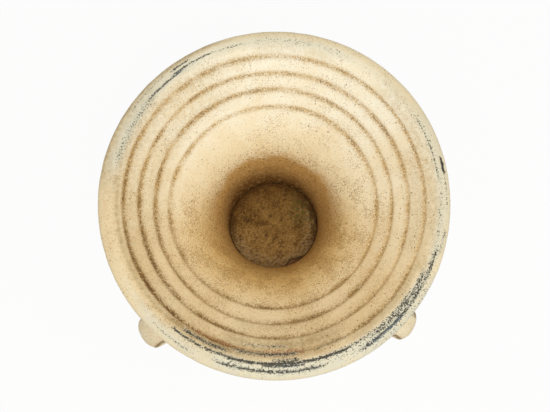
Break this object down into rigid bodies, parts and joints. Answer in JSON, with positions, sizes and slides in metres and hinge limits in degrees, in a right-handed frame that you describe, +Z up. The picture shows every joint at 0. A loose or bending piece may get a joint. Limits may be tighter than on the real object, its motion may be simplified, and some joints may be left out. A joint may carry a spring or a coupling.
{
  "type": "plant stand",
  "caption": "Cream fired-clay plant stand: a flared, grooved dish with a deep throat that lifts off a waisted stem on scroll legs.",
  "frame": {"origin": "middle of the throat floor, the top of the plug that closes the dish", "axes": "+Z up along the stem's axis, -Y towards the viewer of the picture, between the two front legs, +X to the viewer's right"},
  "size_m": [0.3, 0.3139, 0.3032],
  "materials": {
    "clay": "matt cream slip with a brown wash in the grooves",
    "earth": "rough, unglazed, earth-stained",
    "cork": "raw cork",
    "steel": "plain zinc-plated steel",
    "felt": "pressed felt"
  },
  "bodies": {
    "stand": {"seat_ring": "cork", "stem": "clay", "tripod_hub": "clay", "leg_front_left": "clay", "leg_front_right": "clay", "leg_back": "clay", "tie_rod": "steel", "rod_nut_top": "steel", "rod_nut_bottom": "steel", "rod_washer_top": "steel", "rod_washer_bottom": "steel", "foot_pad_front_left": "felt", "leg_dowel_front_left_left": "steel", "leg_dowel_front_left_right": "steel", "foot_pad_front_right": "felt", "leg_dowel_front_right_left": "steel", "leg_dowel_front_right_right": "steel", "foot_pad_back": "felt", "leg_dowel_back_left": "steel", "leg_dowel_back_right": "steel"},
    "bowl": {"bowl_shell": "clay", "throat_plug": "earth"}
  },
  "joints": [
    {"name": "bowl_lift", "type": "slide", "parent": "stand", "child": "bowl", "axis": [0, 0, 1], "range_m": [0, 0.15]}
  ]
}
